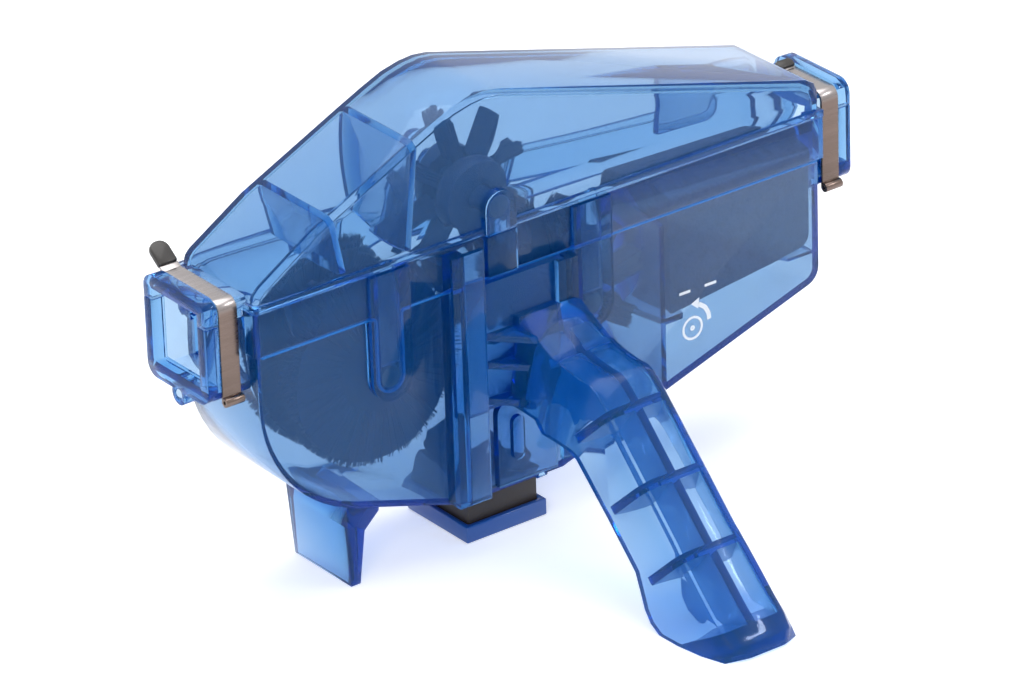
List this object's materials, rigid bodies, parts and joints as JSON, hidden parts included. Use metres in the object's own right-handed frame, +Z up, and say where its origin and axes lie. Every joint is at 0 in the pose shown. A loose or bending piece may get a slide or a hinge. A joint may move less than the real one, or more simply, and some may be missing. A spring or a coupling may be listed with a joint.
{
  "type": "bike chain cleaner",
  "caption": "Clear-shelled tank and cover that close round a bicycle chain, with chain-driven rotary brushes, a wiping sponge, a magnet under the sump and a ribbed side grip.",
  "frame": {"origin": "centre of the magnet tray's underside, the face it stands on", "axes": "+X along the chain from the front port, where the front brush is, to the rear port; +Y away from the grip; +Z up"},
  "size_m": [0.209, 0.1289, 0.1284],
  "materials": {
    "tank_plastic": "clear blue moulded plastic",
    "cover_plastic": "clear blue moulded plastic",
    "grip_plastic": "clear blue moulded plastic",
    "tray_plastic": "solid blue moulded plastic",
    "magnet": "dark brown, dull",
    "clip_steel": "brushed spring strip, warm reflections",
    "dip_coating": "dipped coating, semi-matt",
    "axle_plastic": "dark moulded plastic",
    "sprocket_plastic": "dark moulded plastic",
    "bristles": "dense dark nylon bristles",
    "sponge": "dark open foam"
  },
  "bodies": {
    "tank": {"tank": "tank_plastic", "grip": "grip_plastic", "magnet": "magnet", "magnet_tray": "tray_plastic", "sponge": "sponge"},
    "cover": {"cover": "cover_plastic"},
    "front_clip": {"front_clip": "clip_steel", "front_clip_tip": "dip_coating"},
    "rear_clip": {"rear_clip": "clip_steel", "rear_clip_tip": "dip_coating"},
    "front_brush": {"front_brush_axle": "axle_plastic", "front_brush_sprocket": "sprocket_plastic", "front_brush_near_bristles": "bristles", "front_brush_far_bristles": "bristles"},
    "rear_brush": {"rear_brush_axle": "axle_plastic", "rear_brush_sprocket": "sprocket_plastic", "rear_brush_near_bristles": "bristles", "rear_brush_far_bristles": "bristles"},
    "star_brush": {"star_brush_axle": "axle_plastic", "star_brush_near_drum": "sprocket_plastic", "star_brush_far_drum": "sprocket_plastic", "star_brush_near_bristles": "bristles", "star_brush_far_bristles": "bristles"}
  },
  "joints": [
    {"name": "cover_lift", "type": "slide", "parent": "tank", "child": "cover", "axis": [0, 0, 1], "range_m": [0, 0.045]},
    {"name": "front_clip_swing", "type": "hinge", "parent": "cover", "child": "front_clip", "pos_m": [-0.0849, -0.0143, 0.0665], "axis": [1, 0, 0], "range_deg": [0, 110]},
    {"name": "rear_clip_swing", "type": "hinge", "parent": "cover", "child": "rear_clip", "pos_m": [0.1101, -0.0143, 0.0665], "axis": [1, 0, 0], "range_deg": [0, 110]},
    {"name": "front_brush_spin", "type": "hinge", "parent": "tank", "child": "front_brush", "pos_m": [-0.0384, 0, 0.05915], "axis": [0, 1, 0], "continuous": true},
    {"name": "rear_brush_spin", "type": "hinge", "parent": "tank", "child": "rear_brush", "pos_m": [0.0266, 0, 0.05915], "axis": [0, 1, 0], "continuous": true},
    {"name": "star_brush_spin", "type": "hinge", "parent": "cover", "child": "star_brush", "pos_m": [-0.0026, 0, 0.09629], "axis": [0, 1, 0], "continuous": true}
  ],
  "couplings": [
    {"joint": "rear_brush_spin", "follows": "front_brush_spin", "ratio": 1},
    {"joint": "star_brush_spin", "follows": "front_brush_spin", "ratio": -1.25}
  ]
}
